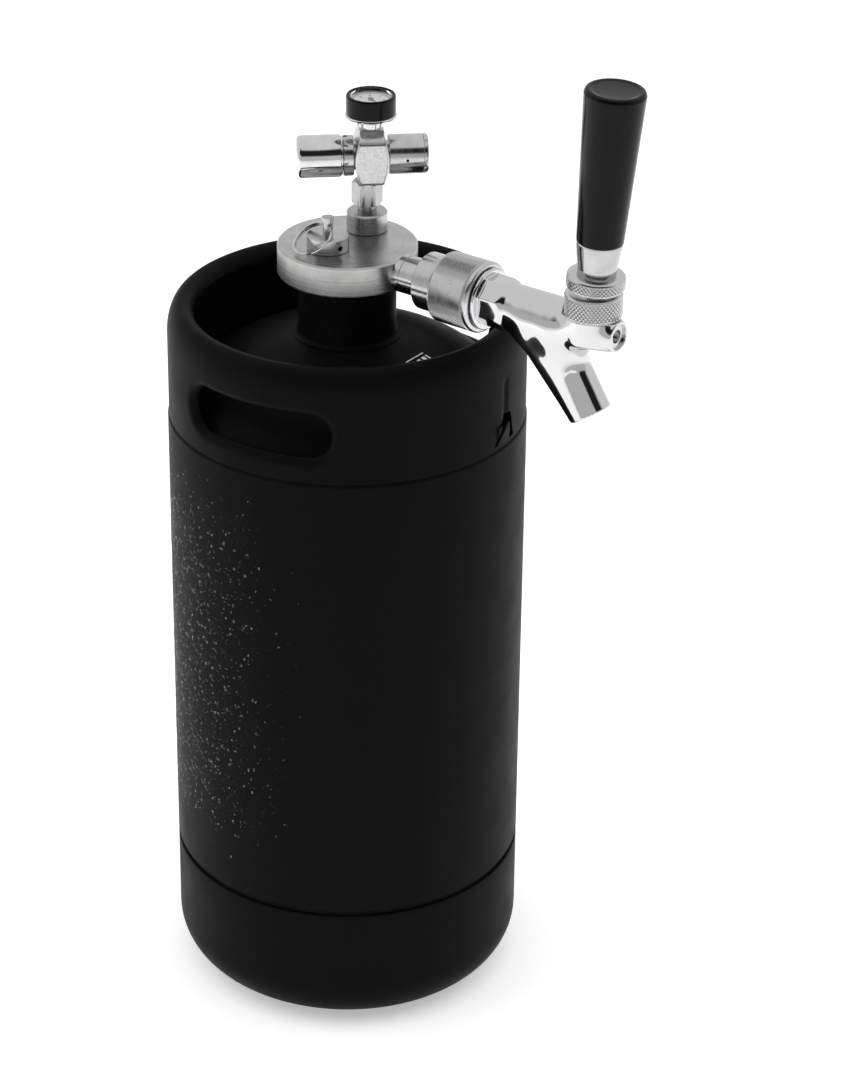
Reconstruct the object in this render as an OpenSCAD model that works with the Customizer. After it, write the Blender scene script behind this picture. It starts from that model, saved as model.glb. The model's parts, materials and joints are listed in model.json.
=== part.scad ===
// Mini keg growler with a gas regulator and a beer tap on its screw-in cap.
// The origin is the centre of the base, +Z is up and the tap points along -Y.
// Bearings are degrees about +Z, counted from the tap's side (-Y) towards +X.

/* [Keg] */
// Outside diameter of the insulated body
body_d = 165; // [160:1:170]
// Height of the rolled rim above the floor
rim_h = 344.3; // [342:0.1:348]
// Height of the seam between the skirt and the body
skirt_h = 65.7; // [55:0.1:75]
// Height of the bead between the body and the handle collar
bead_h = 290.5; // [289:0.1:292]
// Radius of the rounded bottom corner
corner_r = 24; // [18:1:26]
// Sheet thickness of the steel walls
wall = 1.2; // [0.8:0.1:1.4]
// Outside diameter of the neck
neck_d = 44.4; // [43:0.1:46]
// Bearing of the handle slots about the keg's axis
keg_turn = 7; // [0:1:10]

/* [Handles] */
// Angle that each finger slot spans
slot_arc = 53; // [45:1:56]
// Height of each finger slot
slot_h = 22; // [18:0.5:23]
// Height of the middle of the finger slots above the floor
slot_z = 312.5; // [311:0.5:314]

/* [Cap] */
// Diameter of the dispenser cap
cap_d = 63.4; // [62:0.1:66]
// Thickness of the dispenser cap
cap_t = 14.3; // [14:0.1:15]
// Height of the cap's top face above the floor
cap_top = 372.3; // [372:0.1:373]
// Distance of the gas inlet from the cap's axis
inlet_x = 16.9; // [16.5:0.1:17.5]
// Distance of the relief valve from the cap's axis
relief_x = 12; // [11.5:0.1:12.5]
// How far both fittings sit behind the cap's axis
fitting_y = 1.8; // [1:0.1:2.4]
// Diameter of the dip tube
dip_d = 8; // [7:0.5:9]

/* [Regulator] */
// Height of the regulator's axis above the floor
reg_z = 408.2; // [407:0.1:409]
// Bearing of the cartridge socket
reg_bearing = 42; // [30:1:60]
// Diameter of the pressure knob
knob_d = 19.2; // [18:0.1:20]
// Length of the pressure knob
knob_l = 21; // [18:0.5:22]
// Diameter of the cartridge socket
socket_d = 18; // [17:0.1:19]
// Major diameter of the cartridge thread
thread_d = 9.525; // [9.5:0.005:9.6]
// Diameter of the gauge's steel flange
gauge_d = 23.3; // [22.5:0.1:24]

/* [Tap] */
// Diameter of the shank where it leaves the cap
shank_d = 17.2; // [16:0.1:18]
// Diameter of the knurled coupling nut
nut_d = 32.2; // [32:0.1:33]
// Distance of the tap's pivot from the keg's axis
pivot_y = 132.5; // [131:0.1:134]
// Height of the lever's pivot above the floor
pivot_z = 378.2; // [378:0.1:378.4]
// How far the handle leans forward at rest
lean = 4.2; // [3:0.1:5]
// Distance from the lever's pivot to the ball that moves the valve shaft
lever_arm = 13; // [12.9:0.1:13.1]
// Outlet bore of the spout
spout_bore_d = 11; // [10:0.1:11.5]
// Slope of the spout, measured from straight down
spout_slope = 32.4; // [30:0.1:35]
// Diameter of the handle's top
handle_top_d = 26.6; // [24:0.1:28]

/* [Hidden] */
$fn = 96;
body_r = body_d / 2;
in_r = body_r - wall;
collar_r = body_r - 0.5;
collar_in = collar_r - wall;
neck_r = neck_d / 2;
neck_in = 18.2;
cap_r = cap_d / 2;
cap_z = cap_top - cap_t;
tap_z = cap_top - cap_t / 2;
plug_r = neck_in - 0.3;
dip_r = dip_d / 2;
socket_r = socket_d / 2;
knob_r = knob_d / 2;
gauge_x = 1.6;
nut_r = nut_d / 2;

// The shoulder is a flattened dome of revolution
dome_r = 82;
dome_h = 52;
dome_top = 331;
dome_steps = 14;
function dome_z(r) = dome_top - dome_h * (1 - sqrt(1 - pow(r / dome_r, 2)));

// ---- Frames ----

// Puts the children's +Z along the tap's axis, pointing away from the keg
module along_tap(distance) translate([0, -distance, tap_z]) rotate([90, 0, 0]) children();

// Puts the children's -Y on a bearing
module bearing(angle) rotate([0, 0, angle]) children();

// The regulator's frame: +X points out of the cartridge socket
module at_regulator() translate([inlet_x, fitting_y, reg_z]) rotate([0, 0, reg_bearing - 90]) children();

// A piece along the regulator's axis: its +Z runs along the frame's +X
module along_regulator(x) at_regulator() translate([x, 0, 0]) rotate([0, 90, 0]) children();

// The relief valve's frame, on the cap's top face
module at_relief() translate([-relief_x, fitting_y, cap_top]) children();

// The lever's frame: origin at the pivot, +Z up the leaning handle
module at_lever() translate([0, -pivot_y, pivot_z]) rotate([lean, 0, 0]) children();

// The spout's frame: origin at the middle of its mouth, +Z up the spout
spout_y = 133.9;
spout_z = 325.5;
module at_spout() translate([0, -spout_y, spout_z]) rotate([-spout_slope, 0, 0]) children();

// ---- Shared shapes ----

// A tube standing on z = 0
module tube(r_out, r_in, h) {
    difference() {
        cylinder(r = r_out, h = h);
        translate([0, 0, -1]) cylinder(r = r_in, h = h + 2);
    }
}

// A cylinder with both edges chamfered
module chamfered(r, h, c) {
    rotate_extrude() polygon([[0, 0], [r - c, 0], [r, c], [r, h - c], [r - c, h], [0, h]]);
}

// Half section of a straight-sided cup with a rounded bottom corner
module cup_section(r, h, corner) {
    translate([0, corner]) square([r, h - corner]);
    square([r - corner, corner + 0.01]);
    translate([r - corner, corner]) circle(corner);
}

// A helical spring standing on z = 0, swept along its own helix
coil_sides = 6;
coil_steps = 18;
function coil_point(r, w, pitch, i, k) =
    let (a = 360 * i / coil_steps, b = 360 * k / coil_sides, q = r + w * cos(b))
    [q * cos(a), q * sin(a), w + pitch * i / coil_steps + w * sin(b)];
module coil(r, w, h, turns) {
    last = turns * coil_steps;
    pitch = (h - 2 * w) / turns;
    points = [for (i = [0:last]) for (k = [0:coil_sides - 1]) coil_point(r, w, pitch, i, k)];
    sides = [for (i = [0:last - 1]) for (k = [0:coil_sides - 1])
        let (n = (k + 1) % coil_sides, a = i * coil_sides, b = a + coil_sides)
        [a + k, b + k, b + n, a + n]];
    first_cap = [[for (k = [0:coil_sides - 1]) k]];
    last_cap = [[for (k = [coil_sides - 1:-1:0]) last * coil_sides + k]];
    polyhedron(points, concat(sides, first_cap, last_cap), convexity = 10);
}

// ---- Keg ----

groove_h = 2.2;
module outer_shell() {
    bottom = skirt_h + groove_h / 2;
    color("#1b1b1c") {
        translate([0, 0, bottom]) tube(body_r, in_r, bead_h - bottom);
        translate([0, 0, skirt_h - 8]) tube(in_r, in_r - wall, bottom + 9 - skirt_h);
    }
}

foot_in = 52;
lip_h = 6;
module base_skirt() {
    top = skirt_h - groove_h / 2;
    color("#1b1b1c") rotate_extrude() {
        difference() {
            cup_section(body_r, top, corner_r);
            translate([0, wall]) cup_section(in_r, top, corner_r - wall);
            translate([-1, -1]) square([foot_in + 1, top]);
        }
        translate([foot_in, 0]) square([wall, lip_h]);
    }
}

module bottom_plate() {
    color("#222223") {
        translate([0, 0, lip_h]) cylinder(r = foot_in + wall, h = wall);
        translate([0, 0, lip_h - 1.6]) cylinder(r = 7, h = 1.6);
    }
}

// The inner vessel keeps a vacuum gap behind the outer walls
vessel_r = 76;
vessel_z = 12;
vessel_t = 1;
vessel_corner = 26;
vessel_drop = 6;
module inner_vessel() {
    radii = [for (i = [0:dome_steps]) neck_r + (vessel_r - neck_r) * i / dome_steps];
    outer = [for (r = radii) [r, dome_z(r) - vessel_drop]];
    inner = [for (i = [dome_steps:-1:0]) [radii[i], dome_z(radii[i]) - vessel_drop - vessel_t]];
    edge = dome_z(vessel_r) - vessel_drop;
    color("#c9cbcd") {
        rotate_extrude() translate([0, vessel_z]) difference() {
            cup_section(vessel_r, edge - vessel_z, vessel_corner);
            translate([0, vessel_t]) cup_section(vessel_r - vessel_t, edge, vessel_corner - vessel_t);
            translate([-1, -1]) square([1, edge]);
        }
        rotate_extrude() polygon(concat(outer, inner));
    }
}

module shoulder_dome() {
    radii = [for (i = [0:dome_steps]) neck_r + (collar_in - neck_r) * i / dome_steps];
    outer = [for (r = radii) [r, dome_z(r)]];
    inner = [for (i = [dome_steps:-1:0]) [radii[i] - wall * i / dome_steps, dome_z(radii[i]) - wall]];
    color("#1b1b1c") rotate_extrude() polygon(concat(outer, inner));
}

weld_r = 2.6;
module neck_ring() {
    foot = dome_z(neck_r) - 8.5;
    top = cap_z - 1.4;
    color("#161617") rotate_extrude() difference() {
        union() {
            translate([0, foot]) square([neck_r, top - foot]);
            translate([0, dome_z(neck_r)]) square([neck_r + weld_r, weld_r]);
        }
        translate([-1, foot - 1]) square([neck_in + 1, top - foot + 2]);
        translate([neck_r + weld_r, dome_z(neck_r) + weld_r]) circle(weld_r - 0.2);
    }
}

// A finger slot with round ends, cut straight out through the collar
module finger_slot() {
    half = collar_r * sin(slot_arc / 2) - slot_h / 2;
    translate([0, -body_r + 25, slot_z]) rotate([90, 0, 0]) linear_extrude(50) {
        square([2 * half, slot_h], center = true);
        for (side = [-1, 1]) translate([side * half, 0]) circle(slot_h / 2);
    }
}

// The opener's tongue is left standing inside a pointed opening
opener_w = 19;
opener_h = 14;
module opener_cut() {
    low = bead_h + 1.8;
    translate([0, -body_r + 25, low]) rotate([90, 0, 0]) linear_extrude(50) difference() {
        polygon([[-opener_w / 2, 0], [opener_w / 2, 0], [3.5, opener_h], [-3.5, opener_h]]);
        polygon([[-6.4, -1], [6.4, -1], [1.2, opener_h - 4], [-1.2, opener_h - 4]]);
    }
}

rim_r = 5.9;
module handle_collar() {
    roll_z = rim_h - rim_r;
    roll_x = collar_r - rim_r - 0.4;
    color("#1b1b1c") difference() {
        rotate_extrude() {
            translate([collar_in, bead_h - 8]) square([in_r - collar_in, 8]);
            translate([collar_in, bead_h]) square([wall, roll_z - 8 - bead_h]);
            polygon([
                [collar_in, roll_z - 8], [collar_r, roll_z - 8],
                [roll_x + rim_r, roll_z], [roll_x + rim_r - wall, roll_z]
            ]);
            difference() {
                translate([roll_x, roll_z]) circle(rim_r);
                translate([roll_x, roll_z]) circle(rim_r - wall);
                translate([roll_x - 9, roll_z - 8]) square([18, 7.5]);
            }
        }
        for (side = [0, 180]) bearing(keg_turn + side - 91) finger_slot();
        for (side = [0, 180]) bearing(keg_turn + side) opener_cut();
    }
}

// ---- Cap and dip tube ----

module cap_gasket() {
    color("#101010") translate([0, 0, cap_z - 1.3]) tube(neck_r - 0.2, neck_in + 0.1, 1.2);
}

plug_l = 13;
gas_z = cap_z + 4.2;
gas_x = 10;
module dispenser_cap() {
    color("#b9bbbd") difference() {
        union() {
            translate([0, 0, cap_z]) chamfered(cap_r, cap_t, 0.8);
            translate([0, 0, cap_z - plug_l]) cylinder(r = plug_r, h = plug_l + 1);
        }
        // Beer passage: up the middle and out to the shank
        translate([0, 0, cap_z - plug_l - 1]) cylinder(r = dip_r, h = plug_l + 1 + tap_z - cap_z);
        along_tap(0) cylinder(r = 3.2, h = cap_r + 1);
        along_tap(21) cylinder(r = 6, h = cap_r);
        // Gas passage: down from the inlet, inwards and down into the keg
        translate([inlet_x, fitting_y, gas_z]) cylinder(r = 1.5, h = cap_t);
        translate([gas_x, fitting_y, gas_z]) rotate([0, 90, 0]) cylinder(r = 1.5, h = inlet_x - gas_x);
        translate([gas_x, fitting_y, cap_z - plug_l - 1]) cylinder(r = 1.5, h = plug_l + 1 + gas_z - cap_z);
        // Relief passage and the seat that its seal rests on
        at_relief() translate([0, 0, -cap_t - plug_l - 1]) cylinder(r = 2.6, h = cap_t + plug_l + 2);
        at_relief() translate([0, 0, -6.3]) cylinder(r = 4.8, h = 7);
    }
}

dip_z = 17;
module dip_tube() {
    color("#c9cbcd") translate([0, 0, dip_z]) tube(dip_r, dip_r - 0.8, tap_z - 4 - dip_z);
}

module gas_inlet_fitting() {
    color("#c4c6c8") translate([inlet_x, fitting_y, cap_top]) difference() {
        union() {
            chamfered(9.3, 9.5, 0.7);
            translate([0, 0, 8]) cylinder(r = 4.4, h = 10.6);
        }
        translate([0, 0, -1]) cylinder(r = 1.5, h = 22);
    }
}

// ---- Relief valve ----

relief_vent = -16;
module relief_boss() {
    color("#c4c6c8") at_relief() difference() {
        chamfered(9.5, 7.4, 0.5);
        translate([0, 0, -1]) cylinder(r = 4.8, h = 6.9);
        translate([0, 0, -1]) cylinder(r = 2.3, h = 10);
        bearing(relief_vent) translate([0, 0, 3.2]) rotate([90, 0, 0]) cylinder(r = 1.2, h = 12);
    }
}

stem_r = 2.2;
eye_z = 11.5;
ring_bearing = -18.6;
module relief_stem() {
    color("#d0d2d4") at_relief() difference() {
        union() {
            translate([0, 0, -3.4]) cylinder(r = stem_r, h = 18.6);
            translate([0, 0, -5]) cylinder(r = 4.2, h = 1.8);
            translate([0, 0, 14]) cylinder(r = stem_r + 0.5, h = 1.4);
        }
        bearing(ring_bearing) translate([0, 6, eye_z]) rotate([90, 0, 0]) cylinder(r = 1.5, h = 12);
    }
}

module relief_seal() {
    color("#141414") at_relief() translate([0, 0, -6.25]) cylinder(r = 4.2, h = 1.25);
}

module relief_spring() {
    color("#a9abad") at_relief() translate([0, 0, -3.1]) coil(3.2, 0.4, 8.8, 6);
}

// The split ring threads the stem's eye and leans on the boss's edge
ring_r = 9.3;
ring_drop = 33;
module pull_ring() {
    color("#d0d2d4") at_relief() translate([0, 0, eye_z]) bearing(ring_bearing) rotate([0, -ring_drop, 0])
        translate([-ring_r, 0, 0]) {
            for (side = [-1, 1]) translate([0, 0, 0.45 * side])
                rotate_extrude() translate([ring_r, 0]) circle(0.55, $fn = 24);
        }
}

// ---- Regulator ----

nut_bearing = -50;
module swivel_nut() {
    color("#b4b6b8") translate([inlet_x, fitting_y, cap_top + 12.9]) bearing(nut_bearing) difference() {
        cylinder(r = 7.05, h = 10.8, $fn = 6);
        translate([0, 0, -1]) cylinder(r = 4.5, h = 13);
    }
}

reg_w = 15.7;
reg_h = 21.8;
reg_d = 22;
module regulator_block() {
    hull() {
        cube([reg_w, reg_d - 5, reg_h - 7], center = true);
        cube([reg_w - 3, reg_d, reg_h - 7], center = true);
        cube([reg_w - 7, reg_d, reg_h], center = true);
        translate([0, 0, 0.8]) cube([reg_w - 7, reg_d - 9, reg_h + 3.4], center = true);
    }
}

bonnet_x = -6.3;
bonnet_bore = 5.6;
socket_x = 9.4;
module regulator_body() {
    stem_z = cap_top + 18.8 - reg_z;
    color("#bfc1c3") at_regulator() difference() {
        union() {
            translate([1.55, 0, 0]) regulator_block();
            translate([0, 0, stem_z]) cylinder(r = 4.4, h = -reg_h / 2 - stem_z + 1);
            translate([gauge_x, 0, reg_h / 2]) cylinder(r = 5.3, h = 2.9);
        }
        // Spring side, piston chamber and cartridge side
        translate([bonnet_x - 1, 0, 0]) rotate([0, 90, 0]) cylinder(r = 6.6, h = 10.3);
        rotate([0, 90, 0]) cylinder(r = 1.2, h = 8);
        translate([5.4, 0, 0]) rotate([0, 90, 0]) cylinder(r = 6.2, h = 8);
        translate([0, 0, stem_z - 1]) cylinder(r = 1.5, h = -stem_z + 1);
        translate([gauge_x, 0, 0]) cylinder(r = 1.5, h = 16);
    }
}

module regulator_piston() {
    color("#c9a86a") along_regulator(0.6) {
        cylinder(r = 6.5, h = 2.2);
        translate([0, 0, 2]) cylinder(r = 1.1, h = 2.6);
    }
}

bonnet_l = 4.8;
module spring_bonnet() {
    color("#c4c6c8") along_regulator(bonnet_x - bonnet_l) difference() {
        union() {
            chamfered(9.2, bonnet_l, 0.5);
            translate([0, 0, bonnet_l - 0.5]) cylinder(r = 6.6, h = 5);
        }
        translate([0, 0, 1.8]) cylinder(r = bonnet_bore, h = 12);
        translate([0, 0, -1]) cylinder(r = 2.5, h = 5);
        for (i = [0:7]) rotate([0, 0, 45 * i]) translate([9.6, 0, 1]) rotate([0, 90, 0])
            cylinder(r = 1.1, h = 3, center = true, $fn = 24);
    }
}

module spring_follower() {
    color("#8f9193") along_regulator(-9.1) cylinder(r = 5.3, h = 1.4);
}

module range_spring() {
    color("#a9abad") along_regulator(-7.6) coil(4, 0.5, 8.1, 5);
}

knob_gap = 0.3;
module pressure_knob() {
    far = bonnet_x - bonnet_l - knob_gap - knob_l;
    color("#e3e4e5") along_regulator(far) {
        difference() {
            rotate_extrude() {
                translate([0, 1.6]) square([knob_r, knob_l - 2.4]);
                polygon([[0, 0], [knob_r - 3.2, 0], [knob_r - 0.6, 0.9], [knob_r, 1.6], [0, 1.6]]);
                polygon([[0, knob_l - 0.8], [knob_r, knob_l - 0.8], [knob_r - 0.8, knob_l], [0, knob_l]]);
            }
            translate([0, 0, knob_l - 4]) cylinder(r = 7, h = 5);
        }
        translate([0, 0, knob_l - 5]) cylinder(r = 2.4, h = 6.9);
    }
}

socket_l = 15.7;
module cartridge_socket() {
    color("#c4c6c8") along_regulator(socket_x) difference() {
        union() {
            chamfered(socket_r, socket_l, 0.3);
            translate([0, 0, -4]) cylinder(r = 6.2, h = 5);
        }
        translate([0, 0, 5.6]) cylinder(r = thread_d / 2, h = socket_l);
        translate([0, 0, -2]) cylinder(r = 3, h = 9);
        translate([0, 0, -5]) cylinder(r = 1.2, h = 6);
        translate([0, 0, 8]) rotate([90, 0, 0]) cylinder(r = 0.7, h = socket_r + 1);
    }
}

module piercing_pin() {
    color("#9a9c9e") along_regulator(socket_x - 2) {
        difference() {
            cylinder(r = 3, h = 2.4);
            translate([0, 0, -1]) cylinder(r = 0.4, h = 5);
        }
        translate([0, 0, 2.2]) cylinder(r1 = 0.9, r2 = 0.25, h = 5);
    }
}

module cartridge_seal() {
    color("#141414") along_regulator(socket_x + 2.4) tube(3, 1.3, 1.6);
}

module socket_end_ring() {
    color("#d0d2d4") along_regulator(socket_x + socket_l) difference() {
        chamfered(socket_r - 0.1, 2, 0.5);
        translate([0, 0, -1]) cylinder(r = thread_d / 2 + 0.4, h = 4);
        for (i = [0:3]) rotate([0, 0, 90 * i + 30]) translate([socket_r, 0, 1.5]) cube([3, 2.2, 2], center = true);
    }
}

gauge_r = gauge_d / 2;
gauge_z = 18.3;
module at_gauge() at_regulator() translate([gauge_x, 0, gauge_z]) children();

module gauge_case() {
    color("#c9cbcd") at_gauge() {
        translate([0, 0, -4.5]) cylinder(r = 5.35, h = 5);
        difference() {
            cylinder(r = gauge_r, h = 1.5);
            translate([0, 0, 1]) tube(gauge_r + 1, gauge_r - 0.4, 1);
        }
        translate([0, 0, 1.4]) cylinder(r = gauge_r - 1.1, h = 5);
    }
}

ring_h = 8.9;
module gauge_ring() {
    color("#151515") at_gauge() translate([0, 0, 1.5]) difference() {
        chamfered(gauge_r - 0.45, ring_h, 0.4);
        translate([0, 0, -1]) cylinder(r = gauge_r - 1.1, h = ring_h - 0.3);
        translate([0, 0, 1]) cylinder(r = gauge_r - 1.6, h = ring_h);
    }
}

module gauge_dial() {
    color("#f3f3f1") at_gauge() translate([0, 0, 6.4]) difference() {
        cylinder(r = gauge_r - 1.15, h = 0.5);
        translate([0, 0, -1]) cylinder(r = 0.6, h = 3);
    }
}

// The needle rests this far round from the socket's direction, clockwise from above
needle_turn = 63;
module gauge_needle() {
    color("#141414") at_gauge() rotate([0, 0, -needle_turn]) {
        translate([0, 0, 6.5]) cylinder(r = 0.5, h = 1.3);
        translate([0, 0, 7.2]) cylinder(r = 1.2, h = 0.6);
        translate([-2.2, -0.3, 7.2]) cube([9.8, 0.6, 0.35]);
    }
}

module gauge_lens() {
    color([0.85, 0.9, 0.95, 0.35]) at_gauge() translate([0, 0, 8.2]) cylinder(r = gauge_r - 1.15, h = 0.9);
}

// ---- Shank and coupling ----

collar_y = 44.6;
nut_y = 55.3;
washer_y = 68;
module beer_shank() {
    color("#d0d2d4") difference() {
        union() {
            difference() {
                along_tap(24) cylinder(r = shank_d / 2, h = washer_y - 24);
                translate([0, 0, tap_z - 20]) cylinder(r = cap_r, h = 40);
            }
            along_tap(21) cylinder(r = 6, h = 20);
        }
        along_tap(20) cylinder(r = 3.2, h = 60);
        along_tap(washer_y - 8) cylinder(r = 5, h = 9);
        along_tap(34.4) tube(shank_d, shank_d / 2 - 0.25, 0.5);
    }
}

module shank_collar() {
    color("#d0d2d4") difference() {
        union() {
            along_tap(collar_y) chamfered(13, nut_y - collar_y, 0.5);
            along_tap(nut_y - 1) cylinder(r = 13.5, h = washer_y - nut_y + 1);
            along_tap(nut_y - 2) cylinder(r = 13, h = 3);
        }
        along_tap(collar_y - 1) cylinder(r = shank_d / 2, h = 40);
    }
}

module coupling_washer() {
    color("#141414") along_tap(washer_y) tube(13.4, 6, 1.2);
}

flange_y = washer_y + 1.2;
flange_l = 3.5;
nut_l = 21.7;
module coupling_nut() {
    color("#d5d7d9") along_tap(nut_y) difference() {
        chamfered(nut_r, nut_l, 1);
        translate([0, 0, -1]) cylinder(r = 13.9, h = flange_y + flange_l - nut_y + 1.3);
        translate([0, 0, 5]) cylinder(r = 12.4, h = nut_l);
    }
}

// ---- Faucet ----

seat_y = 84;
chamber_r = 5.6;
guide_y = 139;
faucet_end = 146;
boss_z = pivot_z + 0.6;
bonnet_z = 372;
bonnet_r = 12.7;
spout_l = 36;
spout_mouth_l = 14;
module faucet_body() {
    color("#d9dbdd") difference() {
        union() {
            // Flange, spanner flats and the flared tube
            along_tap(flange_y) cylinder(r = 13.5, h = flange_l);
            intersection() {
                along_tap(flange_y) cylinder(r = 12, h = 16);
                translate([0, -flange_y - 6, tap_z]) cube([21.6, 24, 21.6], center = true);
            }
            along_tap(flange_y + 10) cylinder(r1 = 11.6, r2 = 10.4, h = 14);
            along_tap(flange_y + 20) cylinder(r = 10.4, h = pivot_y - flange_y - 26);
            along_tap(pivot_y - 7) cylinder(r1 = 10.4, r2 = 7, h = 10);
            along_tap(pivot_y) cylinder(r = 6.9, h = faucet_end - pivot_y);
            // Boss under the bonnet and the neck that carries it
            translate([0, -pivot_y, tap_z - 4]) cylinder(r = 11, h = bonnet_z - tap_z + 4);
            translate([0, -pivot_y, bonnet_z - 1]) cylinder(r = 10.8, h = boss_z - bonnet_z + 1);
            // Spout
            at_spout() cylinder(r1 = 8.2, r2 = 9.4, h = spout_l);
            at_spout() translate([0, 0, spout_l]) sphere(r = 9.4);
        }
        // Inlet, seat hole, chamber, guide bore, lever bore and outlet
        along_tap(flange_y - 1) cylinder(r = 8.4, h = seat_y - flange_y + 1);
        along_tap(seat_y - 1) cylinder(r = 4.6, h = 6);
        along_tap(seat_y + 3) cylinder(r = chamber_r, h = faucet_end - seat_y);
        translate([0, -pivot_y, tap_z]) cylinder(r = 5.8, h = 40);
        at_spout() translate([0, 0, -1]) cylinder(d = spout_bore_d, h = spout_mouth_l + 1);
        at_spout() cylinder(d = spout_bore_d - 1, h = spout_l + 7);
        // Room for the bonnet's skirt round the boss
        translate([0, -pivot_y, bonnet_z]) tube(bonnet_r + 0.3, 10.8, 20);
    }
}

shaft_r = 3;
module shaft_guide() {
    color("#c9cbcd") along_tap(guide_y) difference() {
        cylinder(r = chamber_r, h = faucet_end - guide_y - 1.2);
        translate([0, 0, -1]) cylinder(r = shaft_r + 0.06, h = 12);
    }
}

// The washer stands this far behind the seat when the lever is at rest
seat_gap = 3.25;
washer_l = 3;
block_y = 125;
block_l = 10.2;
module valve_shaft() {
    tip = pivot_y - lever_arm * sin(lean);
    back = seat_y - seat_gap - washer_l;
    color("#c9cbcd") difference() {
        union() {
            along_tap(back) cylinder(r = shaft_r, h = 142.6 - back);
            along_tap(block_y) cylinder(r = 4.6, h = block_l);
            along_tap(back - 1.5) cylinder(r = 5, h = 1.5);
        }
        translate([0, -tip, tap_z - 6]) cylinder(r = 2.7, h = 12);
    }
}

module seat_washer() {
    color("#141414") along_tap(seat_y - seat_gap - washer_l) tube(6.2, shaft_r, washer_l);
}

bonnet_top = 383;
module faucet_bonnet() {
    color("#d5d7d9") translate([0, -pivot_y, bonnet_z]) difference() {
        chamfered(bonnet_r, bonnet_top - bonnet_z, 1);
        translate([0, 0, -1]) cylinder(r = 10.9, h = 10.7);
        translate([0, 0, 5]) cylinder(r = 5.2, h = 9);
        translate([0, 0, 9.9]) cylinder(r1 = 5.2, r2 = 8, h = 1.6);
    }
}

module friction_washer() {
    color("#e8e6de") translate([0, -pivot_y, boss_z]) tube(10.4, 5.8, bonnet_top - 1.3 - boss_z);
}

module tap_lever() {
    color("#c9cbcd") at_lever() {
        sphere(r = 5.4);
        translate([0, 0, 3]) cylinder(r = 3.2, h = 5);
        translate([0, 0, 7]) cylinder(r = 3.6, h = 34);
        translate([0, 0, -lever_arm + 0.5]) cylinder(r = 1.5, h = lever_arm - 3);
        translate([0, 0, -lever_arm]) sphere(r = 2.35);
    }
}

collar_h = 7.1;
collar_top = 13.9;
module lever_collar() {
    color("#d5d7d9") at_lever() translate([0, 0, collar_h]) difference() {
        chamfered(12.9, collar_top - collar_h, 0.9);
        translate([0, 0, -1]) cylinder(r = 3.6, h = 12);
    }
}

ferrule_top = 28.6;
module handle_ferrule() {
    color("#d9dbdd") at_lever() translate([0, 0, collar_top]) difference() {
        cylinder(r1 = 8.4, r2 = 10.2, h = ferrule_top - collar_top);
        translate([0, 0, -1]) cylinder(r = 3.6, h = 20);
    }
}

handle_top = 97.6;
module tap_handle() {
    r = handle_top_d / 2;
    h = handle_top - ferrule_top;
    color("#0f0f10") at_lever() translate([0, 0, ferrule_top]) difference() {
        rotate_extrude() polygon([
            [0, 0], [10.2, 0], [r, h - 1.2], [r - 0.5, h - 0.3], [r - 1.6, h], [0, h - 0.6]
        ]);
        translate([0, 0, -1]) cylinder(r = 3.6, h = 13.4);
    }
}

outer_shell();
base_skirt();
bottom_plate();
inner_vessel();
shoulder_dome();
neck_ring();
handle_collar();
cap_gasket();
dispenser_cap();
dip_tube();
gas_inlet_fitting();
relief_boss();
relief_stem();
relief_seal();
relief_spring();
pull_ring();
swivel_nut();
regulator_body();
regulator_piston();
spring_bonnet();
range_spring();
spring_follower();
pressure_knob();
cartridge_socket();
piercing_pin();
cartridge_seal();
socket_end_ring();
gauge_case();
gauge_ring();
gauge_dial();
gauge_needle();
gauge_lens();
beer_shank();
shank_collar();
coupling_washer();
coupling_nut();
faucet_body();
shaft_guide();
valve_shaft();
seat_washer();
faucet_bonnet();
friction_washer();
tap_lever();
lever_collar();
handle_ferrule();
tap_handle();
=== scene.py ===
"""Looks of the mini keg growler: materials, detailed pieces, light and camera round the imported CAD.

Lengths in the piece sections are millimetres, as in the CAD model, and become metres through MM.
Bearings are degrees about +Z, counted from the tap's side (-Y) towards +X.
"""
import json
import math
import random

import bmesh
import bpy
import numpy as np
import openvdb
from mathutils import Matrix, Vector
from mathutils.geometry import delaunay_2d_cdt


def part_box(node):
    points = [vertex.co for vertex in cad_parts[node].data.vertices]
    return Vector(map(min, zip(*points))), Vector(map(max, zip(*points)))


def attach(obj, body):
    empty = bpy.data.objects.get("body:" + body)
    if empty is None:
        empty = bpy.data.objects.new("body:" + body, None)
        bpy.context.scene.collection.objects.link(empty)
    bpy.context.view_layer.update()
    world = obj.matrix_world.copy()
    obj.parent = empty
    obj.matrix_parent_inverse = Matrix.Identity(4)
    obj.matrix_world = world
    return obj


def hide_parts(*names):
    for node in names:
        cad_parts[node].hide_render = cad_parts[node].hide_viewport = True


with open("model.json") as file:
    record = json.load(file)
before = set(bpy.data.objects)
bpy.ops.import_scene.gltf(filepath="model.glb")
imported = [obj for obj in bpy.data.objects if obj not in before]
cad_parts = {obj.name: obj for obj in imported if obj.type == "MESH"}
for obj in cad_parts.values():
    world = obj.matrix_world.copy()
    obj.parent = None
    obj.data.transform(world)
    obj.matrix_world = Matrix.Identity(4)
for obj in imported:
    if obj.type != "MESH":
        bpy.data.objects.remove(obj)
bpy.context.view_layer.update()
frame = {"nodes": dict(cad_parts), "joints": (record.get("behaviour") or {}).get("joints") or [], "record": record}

MM = 0.001
SHARP = math.radians(32)
ON_AXIS = 1e-6


# ---- Places, all from the frame ----

def joint(name):
    return next(j for j in frame["joints"] if j["name"] == name)


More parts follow.
